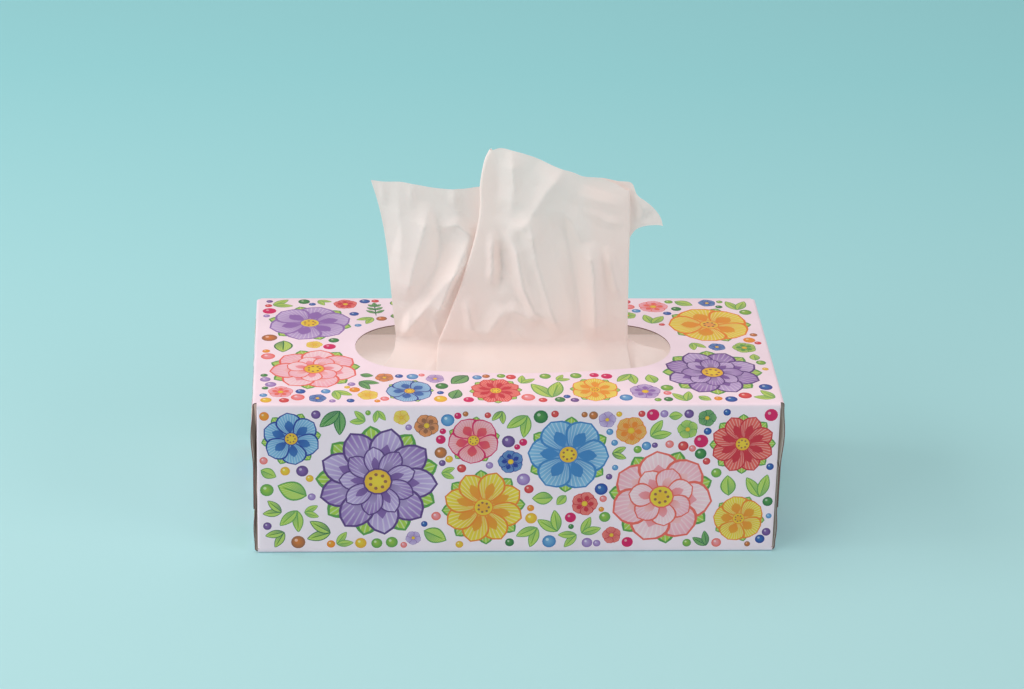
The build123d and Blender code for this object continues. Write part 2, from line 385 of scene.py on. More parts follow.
def blade(place, angle, length, width, fullness, lean, start=0.0, steps=9):
    """The outline of a leaf or a petal, from its foot at start to its tip. A lean over 1 puts its widest
    place nearer the tip."""
    c, s, half = math.cos(angle), math.sin(angle), width / 2
    shares = [k / steps for k in range(steps + 1)]
    sides = [(start + t * (length - start), half * math.sin(math.pi * t**lean) ** fullness) for t in shares]
    outline = [(a, -b) for a, b in sides] + list(reversed(sides[1:-1]))
    return [(place[0] + a * c - b * s, place[1] + a * s + b * c) for a, b in outline]


def disc(place, radius, steps=14):
    """A round outline."""
    return [toward(place, math.tau * k / steps, radius) for k in range(steps)]


def flower(place, radius, petals, rim, body, deep, eye, wide=1.0, rows=1):
    """A flower seen from above: petals in one or two rows, each with a darker line round it, round an
    eye. A large one has green tips between its petals and seeds in its eye."""
    first, lean = chance.uniform(0, math.tau), 1.25
    for k in range(petals if radius > 10 else 0):
        angle = first + math.tau * (k + 0.5) / petals
        tip = blade(place, angle, radius, radius * 0.42, 0.8, 1.3, 0.4 * radius)
        lay_ink(tip, "forest", "green", place, radius)
        tip = blade(place, angle, radius * 0.96, radius * 0.3, 0.8, 1.3, 0.4 * radius)
        lay_ink(tip, "green", "lime", place, radius, angle, 12)
    for row in range(rows):
        reach = radius * (0.97 - 0.34 * row)
        width = wide * 2.25 * reach * math.sin(math.pi / petals) * 0.8
        for k in range(petals):
            angle = first + math.tau * (k + row / 2) / petals
            near, far = (deep, body) if (row + k) % 2 or rows == 1 else (body, deep)
            steps = 9 if radius > 10 else 6
            petal = blade(place, angle, reach, width, 0.62, lean, 0.1 * reach, steps)
            lay_ink(petal, rim, rim, place, reach)
            petal = blade(place, angle, reach * 0.96, width * 0.86, 0.62, lean, 0.14 * reach, steps)
            lay_ink(petal, near, far, place, reach, angle, 9)
            if radius > 5:
                stripe = blade(place, angle, reach * 0.7, width * 0.34, 0.8, lean, 0.2 * reach, 5)
                lay_ink(stripe, rim, near, place, reach)
    heart = radius * 0.24
    lay_ink(disc(place, heart), rim, rim, place, heart)
    lay_ink(disc(place, heart * 0.88), eye, "gold" if eye == "yellow" else "yellow", place, heart)
    seeds = 7
    for k in range(seeds if radius > 8 else 0):
        seed = toward(place, math.tau * k / seeds, heart * 0.52)
        lay_ink(disc(seed, heart * 0.13, 6), "brown", "brown", seed, heart)


def leaf(place, angle, length, width, dark, light):
    """A leaf, lighter on one side of its midrib."""
    lay_ink(blade(place, angle, length, width, 0.85, 0.9), dark, dark, place, length)
    body = blade(place, angle, length * 0.95, width * 0.84, 0.85, 0.9, 0.04 * length)
    lay_ink(body, dark, light, place, length * 0.8, angle, 12)
    half = blade(place, angle, length * 0.93, width * 0.8, 0.85, 0.9, 0.05 * length)[:10]
    lay_ink(half, light, light, place, length, angle, 12)
    lay_ink(blade(place, angle, length * 0.86, width * 0.07, 0.4, 1.0, 0.0, 5), dark, dark, place, length)


def berry(place, radius, dark, light):
    """A round berry with a shine."""
    lay_ink(disc(place, radius), dark, dark, place, radius)
    lay_ink(disc(place, radius * 0.86), light, dark, place, radius)
    shine = (place[0] - radius * 0.28, place[1] - radius * 0.3)
    lay_ink(disc(shine, radius * 0.24, 8), "white", light, shine, radius * 0.4)


def tulip(place, angle, length, dark, light):
    """A tulip from the side: two outer petals and one before them."""
    for turn, reach, width in ((-0.42, 0.92, 0.5), (0.42, 0.92, 0.5), (0.0, 1.0, 0.52)):
        lean = angle + turn
        lay_ink(blade(place, lean, length * reach, length * width, 0.8, 0.8), dark, dark, place, length)
        body = blade(place, lean, length * reach * 0.95, length * width * 0.84, 0.8, 0.8, 0.05 * length)
        lay_ink(body, dark, light, place, length * 0.9, lean, 8)


def sprig(place, angle, length, dark, light, berries):
    """A stem with leaves in pairs, and a leaf or a berry at its end."""
    for k in range(3):
        foot = toward(place, angle, length * (0.22 + 0.24 * k))
        for turn in (-0.8, 0.8):
            leaf(foot, angle + turn, length * (0.36 - 0.05 * k), length * 0.15, dark, light)
    lay_ink(blade(place, angle, length * 0.86, length * 0.035, 0.3, 1.0, 0.0, 5), dark, dark, place, length)
    if berries:
        berry(toward(place, angle, length * 0.86), length * 0.11, *berries)
    else:
        leaf(toward(place, angle, length * 0.72), angle, length * 0.3, length * 0.14, dark, light)


# Large motifs, one by one. Each is placed on the flat by x and s, and what is smaller is strewn round them.
front_middle = (front_top + front_low) / 2
large = [  # x, s, radius, petals, inks, width of the petals, rows
    # front panel
    (-62, front_middle + 1, 28, 9, ("plum", "lilac", "violet", "yellow"), 0.95, 2),
    (-100, front_middle - 20, 13.5, 6, ("navy", "sky", "blue", "yellow"), 1.0, 1),
    (-15, front_middle + 14, 19, 8, ("orange", "yellow", "gold", "orange"), 1.0, 1),
    (-20, front_middle - 19, 12, 5, ("magenta", "pink", "coral", "yellow"), 1.05, 1),
    (22, front_middle - 12, 19, 6, ("blue", "sky", "blue", "yellow"), 1.0, 1),
    (64, front_middle + 9, 24, 7, ("coral", "blush", "pink", "gold"), 1.05, 2),
    (99, front_middle - 17, 15, 8, ("red", "coral", "red", "yellow"), 1.0, 1),
    (99, front_middle + 20, 12, 5, ("orange", "yellow", "gold", "orange"), 1.05, 1),
    # top panel
    (-90, 22, 21, 7, ("coral", "blush", "pink", "yellow"), 1.0, 2),
    (-92, -28, 20, 6, ("violet", "lilac", "violet", "gold"), 1.05, 1),
    (-48, 45, 11, 5, ("navy", "sky", "blue", "yellow"), 1.05, 1),
    (-10, 45, 12, 8, ("red", "coral", "red", "yellow"), 1.0, 1),
    (34, 44, 11.5, 6, ("orange", "yellow", "gold", "orange"), 1.0, 1),
    (88, 26, 23, 8, ("plum", "lilac", "violet", "yellow"), 0.95, 2),
    (92, -26, 20, 5, ("orange", "yellow", "gold", "coral"), 1.05, 1),
    (-36, -45, 11, 7, ("orange", "gold", "orange", "yellow"), 1.0, 1),
    (42, -45, 11, 5, ("magenta", "pink", "magenta", "yellow"), 1.05, 1),
]
# The back panel repeats the front's, turned half round
for x, s, radius, petals, shades, wide, rows in list(large[:8]):
    large.append((-x, -s, radius, petals, shades, wide, rows))
for end in (-1, 1):
    large += [
        (end * 142, 6, 20, 7, ("plum", "lilac", "violet", "yellow"), 0.95, 2),
        (end * 145, -36, 15, 6, ("orange", "yellow", "gold", "orange"), 1.0, 1),
        (end * 140, 42, 13, 5, ("blue", "sky", "blue", "yellow"), 1.05, 1),
        (end * 126, base_middle - 20, 9, 6, ("coral", "blush", "pink", "yellow"), 1.0, 1),
        (end * 127, base_middle + 26, 9, 5, ("violet", "lilac", "violet", "gold"), 1.0, 1),
    ]
for x, s, radius, petals, shades, wide, rows in large:
    motifs.append(((x, s), radius, []))
    flower((x, s), radius * 0.985, petals, *shades, wide=wide, rows=rows)

greens = [("forest", "green"), ("green", "lime"), ("forest", "lime"), ("green", "lime")]
brights = [
    ("navy", "blue"), ("blue", "sky"), ("plum", "violet"), ("violet", "lilac"), ("magenta", "magenta"),
    ("red", "coral"), ("orange", "gold"), ("gold", "yellow"), ("green", "lime"), ("forest", "green"),
    ("coral", "pink"), ("brown", "orange"),
]
most_motifs, spots_tried, least_room = 300, 420, 1.25
rooms_wanted = (8.5, 7.5, 6.0, 5.0)
sprig_radius, leaf_radius, flower_radius = 6.5, 3.2, 3.6  # the least that each is drawn at
leaf_swing = 0.42
edge_room, between = 0.6, 0.2  # kept clear round the opening, and between motifs


def strew(x0, x1, s0, s1):
    """Small motifs, one after another in the roomiest of some places, clear of the opening."""
    taken = [(*place, r) for place, r, _ in motifs] + [(*place, edge_room) for place in opening]
    taken = np.array(taken + opening_rounds)
    for _ in range(most_motifs):
        spots = np.array([(chance.uniform(x0, x1), chance.uniform(s0, s1)) for _ in range(spots_tried)])
        gaps = np.hypot(spots[:, :1] - taken[:, 0], spots[:, 1:] - taken[:, 1]) - taken[:, 2]
        borders = np.minimum(spots - (x0, s0), (x1, s1) - spots)
        rooms = np.minimum(gaps.min(axis=1), borders.min(axis=1))
        x, s = spots[rooms.argmax()]
        room = min(rooms.max() - between, chance.choice(rooms_wanted))
        if room < least_room:
            break
        motifs.append(((x, s), room, []))
        taken = np.concatenate([taken, [(x, s, room)]])
        radius, angle, pick = room * 0.98, chance.uniform(0, math.tau), chance.random()
        foot = toward((x, s), angle, -radius)
        if radius > sprig_radius and pick < 0.25:
            shades, berries = chance.choice(greens), chance.choice([None, *brights[:6]])
            sprig(foot, angle, 2 * radius, *shades, berries)
        elif radius > sprig_radius and pick < 0.5:
            tulip(foot, angle, 1.9 * radius, *chance.choice(brights[2:8]))
        elif radius > leaf_radius and pick < 0.7:
            shades = chance.choice(greens)
            for swing in (-leaf_swing, leaf_swing) if pick < 0.55 else (0,):
                leaf(foot, angle + swing, 1.9 * radius, (0.85 if swing else 1.3) * radius, *shades)
        elif radius > flower_radius:
            shades = chance.choice(brights)
            flower((x, s), radius, 5, shades[0], shades[1], shades[0], "yellow")
        else:
            berry((x, s), radius, *chance.choice(brights))


margin, end_margin = 0.8, 2
x_reach = half_length - margin
panels = [
    (-x_reach, x_reach, front_top + margin, front_low - margin),
    (-x_reach, x_reach, -front_low + margin, -front_top - margin),
    (-x_reach, x_reach, -half_flat + margin, half_flat - margin),
]
top_flap_print, base_flap_print = (120, 166), (118, 137)
half_end = half_flap - end_margin
base_span = (base_middle - half_flap + end_margin, base_middle + half_flap - end_margin)
for end in (-1, 1):
    panels.append((*sorted(end * x for x in top_flap_print), -half_end, half_end))
    panels.append((*sorted(end * x for x in base_flap_print), *base_span))
for panel in panels:
    strew(*panel)

# The flat, cut into triangles along every outline and folded up. Each triangle of a motif takes the
# top shape that covers it, and each of its corners that shape's shade.

def leftward(points):
    """An outline in the order that has its inside on the left."""
    area = sum(a[0] * b[1] - a[1] * b[0] for a, b in zip(points, [*points[1:], points[0]]))
    return points if area > 0 else points[::-1]


def cut_out(outline, inside, cuts):
    """Triangles of an outline's inside, each with the numbers of the cuts that cover it."""
    outline, cuts = leftward(outline), [leftward(cut) for cut in cuts]
    corners = [Vector(p) for p in outline]
    rings = [list(range(len(outline)))]
    for cut in cuts:
        rings.append(list(range(len(corners), len(corners) + len(cut))))
        corners += [Vector(p) for p in cut]
    corners += [Vector(p) for p in inside]
    flat, _, triangles, _, _, covers = delaunay_2d_cdt(corners, [], rings, 0, 1e-5)
    faces = zip(triangles, covers)
    return [([flat[c] for c in t], [k - 1 for k in over if k]) for t, over in faces if 0 in over]


merge_distance, ink_lift, soft_angle = 2e-6, 0.04, 40  # metres, millimetres, degrees


def folded(name, tiles, motifs):
    """The tiles' mesh, with the motifs cut into it and their inks on its corners."""
    points, shades, veining = [], [], []

    def fold_up(corners, fold, shape=None):
        a, b, c = corners
        if (b - a).cross(c - a) > 0:
            corners = (a, c, b)
        for x, s in corners:
            points.append([value * MM for value in fold(x, s)])
            shades.append(inks["ground"])
            veining.append((0.0, 0.0, 0.0))
            if shape:
                _, near, far, origin, span, angle, veins = shape
                share = min(1.0, math.hypot(x - origin[0], s - origin[1]) / span)
                shades[-1] = tuple(p + (q - p) * share for p, q in zip(near, far))
                turn = math.remainder(math.atan2(s - origin[1], x - origin[0]) - angle, math.tau)
                veining[-1] = (share, turn, veins)

    for outline, fold, inside in tiles:
        bounds = [(min(p[k] for p in outline), max(p[k] for p in outline)) for k in (0, 1)]
        here = [m for m in motifs if all(bounds[k][0] < m[0][k] < bounds[k][1] for k in (0, 1))]
        rounds = [disc(place, radius, 12 if radius < 4 else 24) for place, radius, _ in here]
        holes = [opening] if outline is top_panel else []
        for corners, over in cut_out(outline, inside, holes + rounds):
            if not over:
                fold_up(corners, fold)
        for (place, radius, shapes), outer in zip(here, rounds):
            within = [p for p in inside if math.hypot(p[0] - place[0], p[1] - place[1]) < radius * 0.97]
            for corners, over in cut_out(outer, within, [shape[0] for shape in shapes]):
                fold_up(corners, fold, shapes[max(over)] if over else None)
    mesh = bpy.data.meshes.new(name)
    mesh.from_pydata(points, [], [(k, k + 1, k + 2) for k in range(0, len(points), 3)])
    for label, kind, field, values in (
        ("ink", "FLOAT_COLOR", "color", shades),
        ("veins", "FLOAT_VECTOR", "vector", veining),
    ):
        attribute = mesh.attributes.new(label, kind, "CORNER")
        attribute.data.foreach_set(field, np.array(values, np.float32).ravel())
    work = bmesh.new()
    work.from_mesh(mesh)
    bmesh.ops.remove_doubles(work, verts=work.verts, dist=merge_distance)
    work.to_mesh(mesh)
    work.free()
    mesh.shade_smooth()
    mesh.set_sharp_from_angle(angle=math.radians(soft_angle))
    if motifs:
        for vertex, normal in zip(mesh.vertices, [v.normal.copy() for v in mesh.vertices]):
            vertex.co += normal * ink_lift * MM
    made = bpy.data.objects.new(name, mesh)
    bpy.context.scene.collection.objects.link(made)
    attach(made, "root")
    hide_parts("carton")
    return made


printed = folded("printed_face", [tile for tile in tiles if tile not in unprinted], motifs)
card_board = folded("carton_board", tiles, [])
core = card_board.modifiers.new("core", "SOLIDIFY")
core.thickness, core.offset, core.use_even_offset = board * MM, -1, True

# Print: the inks at the corners, pale veins that fan over leaves and petals, and a satin varnish
card = Paint("printed_board")
ink = card.node("ShaderNodeAttribute", {"attribute_name": "ink"})
veins = card.node("ShaderNodeAttribute", {"attribute_name": "veins"}, output=1)
turn, fan = (card.node("ShaderNodeSeparateXYZ", {}, {"Vector": veins}, output=k) for k in (1, 2))
vein = turn.maths("COSINE", turn * fan * 6.0) * 0.5 + 0.5
vein = (vein**6.0) * fan.maths("GREATER_THAN", fan, 1.0)
mottle = card.noise(60, 3.0) * 0.16 + 0.93
tone = card.blend(vein * 0.35, ink, linear(255, 250, 246))
values = {
    "Base Color": card.dimmed(tone, mottle),
    "Roughness": card.noise(40, 2.0) * 0.12 + 0.34,
    "Specular IOR Level": 0.45,
    "Normal": card.bump(card.noise(700, 3.0), 0.00008, 0.35),
}
printed.data.materials.append(card.surface(card.node("ShaderNodeBsdfPrincipled", {}, values)))


def bare_board(name, dark, light, painted_glow):
    """Unprinted board: its fibres, and a painted glow of the given strength."""
    raw = Paint(name)
    fibres = raw.noise(500, 4.0, 0.6)
    values = {
        "Base Color": raw.blend(fibres, dark, light),
        "Roughness": 0.85,
        "Normal": raw.bump(fibres, 0.0001, 0.4),
        # Painted glow: the board gives off a little warm light, which lightens it where it lies in shade
        "Emission Color": (1.0, 0.92, 0.88, 1.0),
        "Emission Strength": painted_glow,
    }
    return raw.surface(raw.node("ShaderNodeBsdfPrincipled", {}, values))


# Inside of the board, and the brown core at its cut edges
# The inside of the board carries a faint painted glow; its cut edges have none
card_board.data.materials.append(bare_board("raw_board", linear(226, 220, 213), linear(242, 237, 231), 0.02))
card_board.data.materials.append(bare_board("cut_edge", linear(104, 74, 72), linear(142, 106, 98), 0.0))
core.material_offset_rim = 1

# Stack: some hundred interfolded two-ply sheets. Their folds lie along the front and back, and the
# top sheet is a little rumpled where the one above it was drawn out.

def smooth(points, count):
    """Evenly spaced places along a smooth line through points."""
    points = np.array(points, float)
    run = np.concatenate([[0.0], np.cumsum(np.linalg.norm(np.diff(points, axis=0), axis=1))])
    slopes = np.gradient(points, run, axis=0)
    at = np.linspace(0, run[-1], count)
    k = np.clip(np.searchsorted(run, at, side="right") - 1, 0, len(points) - 2)
    gap = (run[k + 1] - run[k])[:, None]
    t = (at - run[k])[:, None] / gap
    first = (2 * t**3 - 3 * t**2 + 1) * points[k] + (t**3 - 2 * t**2 + t) * gap * slopes[k]
    return first + (3 * t**2 - 2 * t**3) * points[k + 1] + (t**3 - t**2) * gap * slopes[k + 1]


def crease_rise(x, y, points, rise, left, right, fade=0.25):
    """The rise of a crease over a field of places: a line with a slope on either side of it, which fades
    out along this share of its length."""
    points = np.array(points, float)
    spans = np.diff(points, axis=0)
    lengths = np.linalg.norm(spans, axis=1)
    runs = np.concatenate([[0.0], np.cumsum(lengths)])
    best, lift = np.full(x.shape, 1e9), np.zeros(x.shape)
    for (px, py), (dx, dy), length, run in zip(points, spans, lengths, runs):
        along = np.clip(((x - px) * dx + (y - py) * dy) / length**2, 0, 1)
        gap = np.hypot(x - px - along * dx, y - py - along * dy)
        side = np.where(dx * (y - py) - dy * (x - px) > 0, right, left)
        share = (run + along * length) / runs[-1]
        ends = np.clip(np.minimum(share, 1 - share) / fade, 0, 1)
        slope = np.clip(1 - gap / side, 0, 1)
        here = rise * ends * (0.7 * slope + 0.3 * slope**2)
        lift = np.where(gap < best, here, lift)
        best = np.minimum(best, gap)
    return lift


def grid_mesh(name, grid, closed=False):
    """A mesh over rows and columns of places."""
    rows, columns = grid.shape[:2]
    faces = []
    for r in range(rows - 1):
        here, below = r * columns, (r + 1) * columns
        for c in range(columns if closed else columns - 1):
            beside = (c + 1) % columns
            faces.append((here + c, here + beside, below + beside, below + c))
    mesh = bpy.data.meshes.new(name)
    mesh.from_pydata((grid.reshape(-1, 3) * MM).tolist(), [], faces)
    mesh.shade_smooth()
    made = bpy.data.objects.new(name, mesh)
    bpy.context.scene.collection.objects.link(made)
    return made


stack_length, stack_depth, stack_height = 218.0, 108.0, 60.5
half_depth = stack_depth / 2
section_points, length_points = 100, 150
half_section = smooth(  # from the middle of the stack's base, out and up to the middle of its top
    [
        (0.0, board), (half_depth - 6, board), (half_depth - 1.6, board + 1.2), (half_depth - 0.4, board + 8),
        (half_depth - 0.1, stack_height / 2), (half_depth - 0.5, stack_height - 12),
        (half_depth - 3.5, stack_height - 3.5), (half_depth - 11, stack_height - 0.5),
        (half_depth / 2, stack_height + 1.2), (0.0, stack_height + 1.9),
    ],
    section_points,
)
half_section[:, 1] = np.maximum(half_section[:, 1], board)
section = np.concatenate([half_section, half_section[-2:0:-1] * (-1, 1)])
along = np.linspace(-1, 1, length_points)
along = np.sign(along) * (1 - (1 - np.abs(along)) ** 1.15)  # a little closer together at the ends
grid = np.zeros((len(along), len(section), 3))
grid[:, :, 0] = along[:, None] * stack_length / 2
grid[:, :, 1], grid[:, :, 2] = section[None, :, 0], section[None, :, 1]
x, y, z = grid[:, :, 0], grid[:, :, 1], grid[:, :, 2]
rumple = -0.25 * (1 + np.sin(x / 17.0 + 0.5) * np.cos(y / 13.0))
for points, rise, left, right in (
    ([(-104, 8), (-70, 14), (-40, 10), (0, 12)], 0.5, 10, 14),
    ([(-66, -20), (-74, 0), (-62, 24)], 0.6, 9, 6),
    ([(58, -24), (66, 2), (60, 30)], 0.6, 6, 9),
    ([(20, 20), (60, 12), (104, 16)], 0.5, 9, 9),
    ([(-90, 30), (-20, 34), (50, 28)], -0.5, 12, 10),
):
    rumple += crease_rise(x, y, points, rise, left, right)
on_top = np.clip((z - stack_height + 1) / 2, 0, 1)
grid[:, :, 2] += on_top * (rumple - 0.2)
stack = grid_mesh("stack", grid, closed=True)
work = bmesh.new()
work.from_mesh(stack.data)
bmesh.ops.holes_fill(work, edges=[e for e in work.edges if e.is_boundary], sides=0)
bmesh.ops.triangulate(work, faces=[f for f in work.faces if len(f.verts) > 4])
bmesh.ops.recalc_face_normals(work, faces=work.faces)
work.to_mesh(stack.data)
work.free()
stack.data.set_sharp_from_angle(angle=math.radians(50))


def tissue_paper(name, see_through, painted_glow, layered=0.0):
    """Soft white tissue: a fine emboss, a few softer wrinkles, light coming through it, a painted glow,
    painted shade that darkens it lower down in the carton, and a tone painted a little darker in the
    wrinkles' hollows."""
    soft = Paint(name)
    place = soft.node("ShaderNodeTexCoord", output="Object")
    fibres = soft.noise(900, 4.0, 0.65)
    emboss = soft.node("ShaderNodeTexVoronoi", {"distance": "EUCLIDEAN"}, {"Vector": place, "Scale": 760.0})
    wrinkles = soft.noise(90, 4.0, 0.55, (1.0, 1.0, 0.6))
    relief = fibres * 0.25 + emboss * 0.35 + wrinkles * 2.2
    if layered:
        relief = relief + soft.noise(60.0, 3.0, 0.7, (0.35, 0.35, 30.0)) * layered
    normal = soft.bump(relief, 0.0002, 0.5)
    # Painted shade: the tissue's colour is dimmed to 86% lower down, where the carton's rim and the raised
    # sheet shade it
    level = soft.node("ShaderNodeSeparateXYZ", {}, {"Vector": place}, output=2)
    values = {"Value": level, "From Min": 0.068, "From Max": 0.077, "To Min": 0.86, "To Max": 1.0}
    painted_low_shade = soft.node("ShaderNodeMapRange", {}, values)
    # Painted shade: the wrinkles that make the bump also pick the tone, a little darker where they are low
    tone = soft.blend(wrinkles, linear(255, 239, 234), linear(255, 248, 244))
    values = {
        "Base Color": soft.dimmed(tone, painted_low_shade),
        "Roughness": fibres * 0.1 + 0.82,
        "Specular IOR Level": 0.25,
        "Normal": normal,
        # Painted glow: the tissue gives off a little warm light, so it reads brighter than its lamps make it
        "Emission Color": (1.0, 0.9, 0.88, 1.0),
        "Emission Strength": painted_glow,
    }
    opaque = soft.node("ShaderNodeBsdfPrincipled", {}, values)
    values = {"Color": soft.blend(fibres, linear(255, 230, 221), linear(255, 238, 230)), "Normal": normal}
    through = soft.node("ShaderNodeBsdfTranslucent", {}, values)
    return soft.surface(soft.node("ShaderNodeMixShader", {}, {0: see_through, 1: opaque, 2: through}))


# The stacked tissues carry a stronger painted glow, which lightens their top in the shade under the top panel
stack.data.materials.append(tissue_paper("stacked_tissues", 0.1, 0.27, 6.0))
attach(stack, "root")
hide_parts("tissue_stack")

# Raised tissue: one sheet of two-ply creped paper, 210 mm square. It stands folded in three layers in
# the opening, and from there it laps forward over the stack and is tucked down before it.

# Lines down the sheet from its standing edge to the opening, where a fold or an edge runs
standing_lines = {
    "left_edge": [
        (-64.8, 7, 152.6), (-61.9, 7, 143), (-59.2, 7, 131), (-56.8, 7, 113.9), (-55.4, 7, 99.2),
        (-53.9, 7, 84.4), (-52.9, 7.5, 75.5),
    ],
    "behind_fold": [(-5, 4.6, 150.5), (-6, 5.0, 130), (-13, 5.2, 100), (-21, 5.0, 76)],
    "left_fold": [
        (-11.6, 0.2, 169.9), (-13.3, 0, 166.4), (-14.6, 0, 160.7), (-15.6, 0, 152.6), (-15.4, 0, 142.6),
        (-16.4, 0, 133.4), (-18.2, 0, 124.3), (-21.2, 0, 113.1), (-23.7, 0.2, 103.3), (-26.3, 0.5, 95.9),
        (-29.7, 1.0, 85.6), (-33, 2.0, 76),
    ],
    "right_fold": [
        (49.0, 1.4, 150.6), (49.8, 1.4, 138.9), (50.1, 1.4, 129.2), (50.2, 1.4, 116.1), (50.5, 1.5, 102.3),
        (50.8, 1.8, 87.5), (51.3, 3, 76),
    ],
    "before_edge": [(29, 4.2, 153.6), (34, 4.6, 130), (36, 4.8, 100), (34, 5.4, 76)],
    "right_edge": [
        (66.1, 4, 131.9), (64.4, 4, 132.3), (61.5, 4, 132.3), (58, 4, 131.9), (54.5, 4.2, 130.4),
        (51.9, 4.6, 126.9), (50.6, 4.8, 117), (50.2, 5, 102), (50.0, 5.4, 88), (51.0, 7, 76),
    ],
}
# The same lines where they lap over the stack: their x and how far they lie behind the sheet's middle,
# at shares of the way to the hanging edge, and how far each lies over or under the others
lap_shares = [0, 0.05, 0.12, 0.3, 0.42, 0.6, 1]
laps = {
    "left_edge": ([-52.9, -53.6, -56, -66, -74, -88, -103], [5.1, 4.2, 2.5, 0, 0, 0, 0], -0.9),
    "behind_fold": ([-21, -22, -23, -27, -30, -33, -34.7], [2.6, 2, 1, 0, 0, 0, 0], -0.6),
    "left_fold": ([-33, -34, -34.5, -36, -38, -40, -41], [0, 0, 0, 0, 0, 0, 0], -0.1),
    "right_fold": ([51.3, 51.5, 52, 53, 53.5, 54, 54.6], [0.6, 0.5, 0, 0, 0, 0, 0], -0.1),
    "before_edge": ([34, 34.5, 36, 42, 45, 48, 49.4], [3, 2.5, 2, 0, 0, 0, 0], -0.6),
    "right_edge": ([51.0, 60, 69, 77, 81, 90, 103], [4.6, 6.5, 13, 8, 3, 0, 0], -0.9),
}
standing_rows, lapped_rows = 96, 60
# Down the middle of the sheet, from the opening to the hanging edge
lap_path = smooth(
    [
        (2.4, 76), (2.3, 74.8), (1.2, 73.4), (-3, 72.4), (-12, 71.2), (-26, 69.2), (-40, 67.2), (-50, 65.4),
        (-54, 63.8), (-55.7, 60.5), (-55.9, 52), (-55.9, 33), (-55.9, 14),
    ],
    lapped_rows,
)
path_slopes = np.gradient(lap_path, axis=0)
path_slopes /= np.linalg.norm(path_slopes, axis=1)[:, None]
lap_share = np.linspace(0, 1, lapped_rows)
settled = 0.12  # share of the way at which the layers lie one on another


def whole_line(name):
    """A line's places all down the sheet."""
    upper = smooth(standing_lines[name], standing_rows)
    xs, behind, level = laps[name]
    lower = np.zeros((lapped_rows, 3))
    raised = np.clip(lap_share / settled, 0, 1) * level
    lower[:, 0] = np.interp(lap_share, lap_shares, xs)
    lower[:, 1] = lap_path[:, 0] + np.interp(lap_share, lap_shares, behind) + raised * path_slopes[:, 1]
    lower[:, 2] = lap_path[:, 1] - raised * path_slopes[:, 0]
    return np.concatenate([upper[:-1], lower])


lines = {name: whole_line(name) for name in standing_lines}
facing = np.zeros((standing_rows - 1 + lapped_rows, 3))
facing[:, 1] = -1
facing[standing_rows - 1 :, 1], facing[standing_rows - 1 :, 2] = path_slopes[:, 1], -path_slopes[:, 0]
# The folds are round where the sheet stands, and pressed flat where it laps
row_stops = [0, standing_rows, standing_rows + 9, len(facing)]
fold_radius = np.interp(np.arange(len(facing)), row_stops, [1.1, 0.9, 0.25, 0.2])[:, None]
columns = []  # one array of places for each column, from the sheet's left edge to its right one


def layer(start, start_side, end, end_side, count):
    """Columns of one layer between two lines, each passed on its near side, far side or middle."""
    a = lines[start] + start_side * fold_radius * facing
    b = lines[end] + end_side * fold_radius * facing
    columns.extend(a + (b - a) * k / count for k in range(count + 1))


def turn_back(name, tip, near_first, steps=5):
    """Columns round a fold that turns the sheet back."""
    sideways = np.array([[1.0, 0.0, 0.0]])
    for k in range(1, steps):
        angle = math.pi * k / steps
        lift = math.cos(angle) * (1 if near_first else -1)
        columns.append(lines[name] + fold_radius * (tip * math.sin(angle) * sideways + lift * facing))


layer("left_edge", 0, "behind_fold", -1, 52)
left_end = len(columns)
turn_back("behind_fold", 1, False)
layer("behind_fold", 1, "left_fold", -1, 12)
turn_back("left_fold", -1, False)
front_start = len(columns)
layer("left_fold", 1, "right_fold", 1, 66)
front_end = len(columns)
turn_back("right_fold", 1, True)
layer("right_fold", -1, "before_edge", 1, 12)
turn_back("before_edge", -1, True)
back_start = len(columns)
layer("before_edge", -1, "right_edge", 0, 30)
sheet = np.stack(columns, axis=1)

# Tops of the standing layers, between the lines: where the cut edge rises or dips, dying out downwards
down = np.clip(np.arange(sheet.shape[0]) / (standing_rows - 1), 0, 1)[:, None]
rims = [
    (0, left_end, [
        (-64.8, 152.6), (-58.5, 151.9), (-51.8, 151.9), (-45.1, 150.7), (-37.6, 149.3), (-29.6, 148.6),
        (-22.9, 148.9), (-17.6, 149.8), (-5, 150.5),
    ]),
    (front_start, front_end, [
        (-11.6, 169.9), (-8.1, 171.0), (-3.7, 170.2), (3.0, 168.3), (9.8, 165.5), (16.4, 162.6),
        (25.4, 159.0), (28.5, 157.4), (36.9, 156.4), (42.8, 154.2), (49.0, 150.6),
    ]),
    (back_start, len(columns), [
        (29, 153.6), (37.0, 154.7), (45.1, 153.2), (51.4, 152.3), (53.8, 147.3), (57.5, 144.3),
        (62.2, 139.8), (65.1, 135.6), (66.1, 131.9),
    ]),
]
for first, end, rim in rims:
    target = smooth([(x, 0, z) for x, z in rim], end - first)
    change = target - sheet[0, first:end]
    change[:, 1] = 0
    sheet[:, first:end] += (1 - down[:, :, None]) ** 2.2 * change[None]

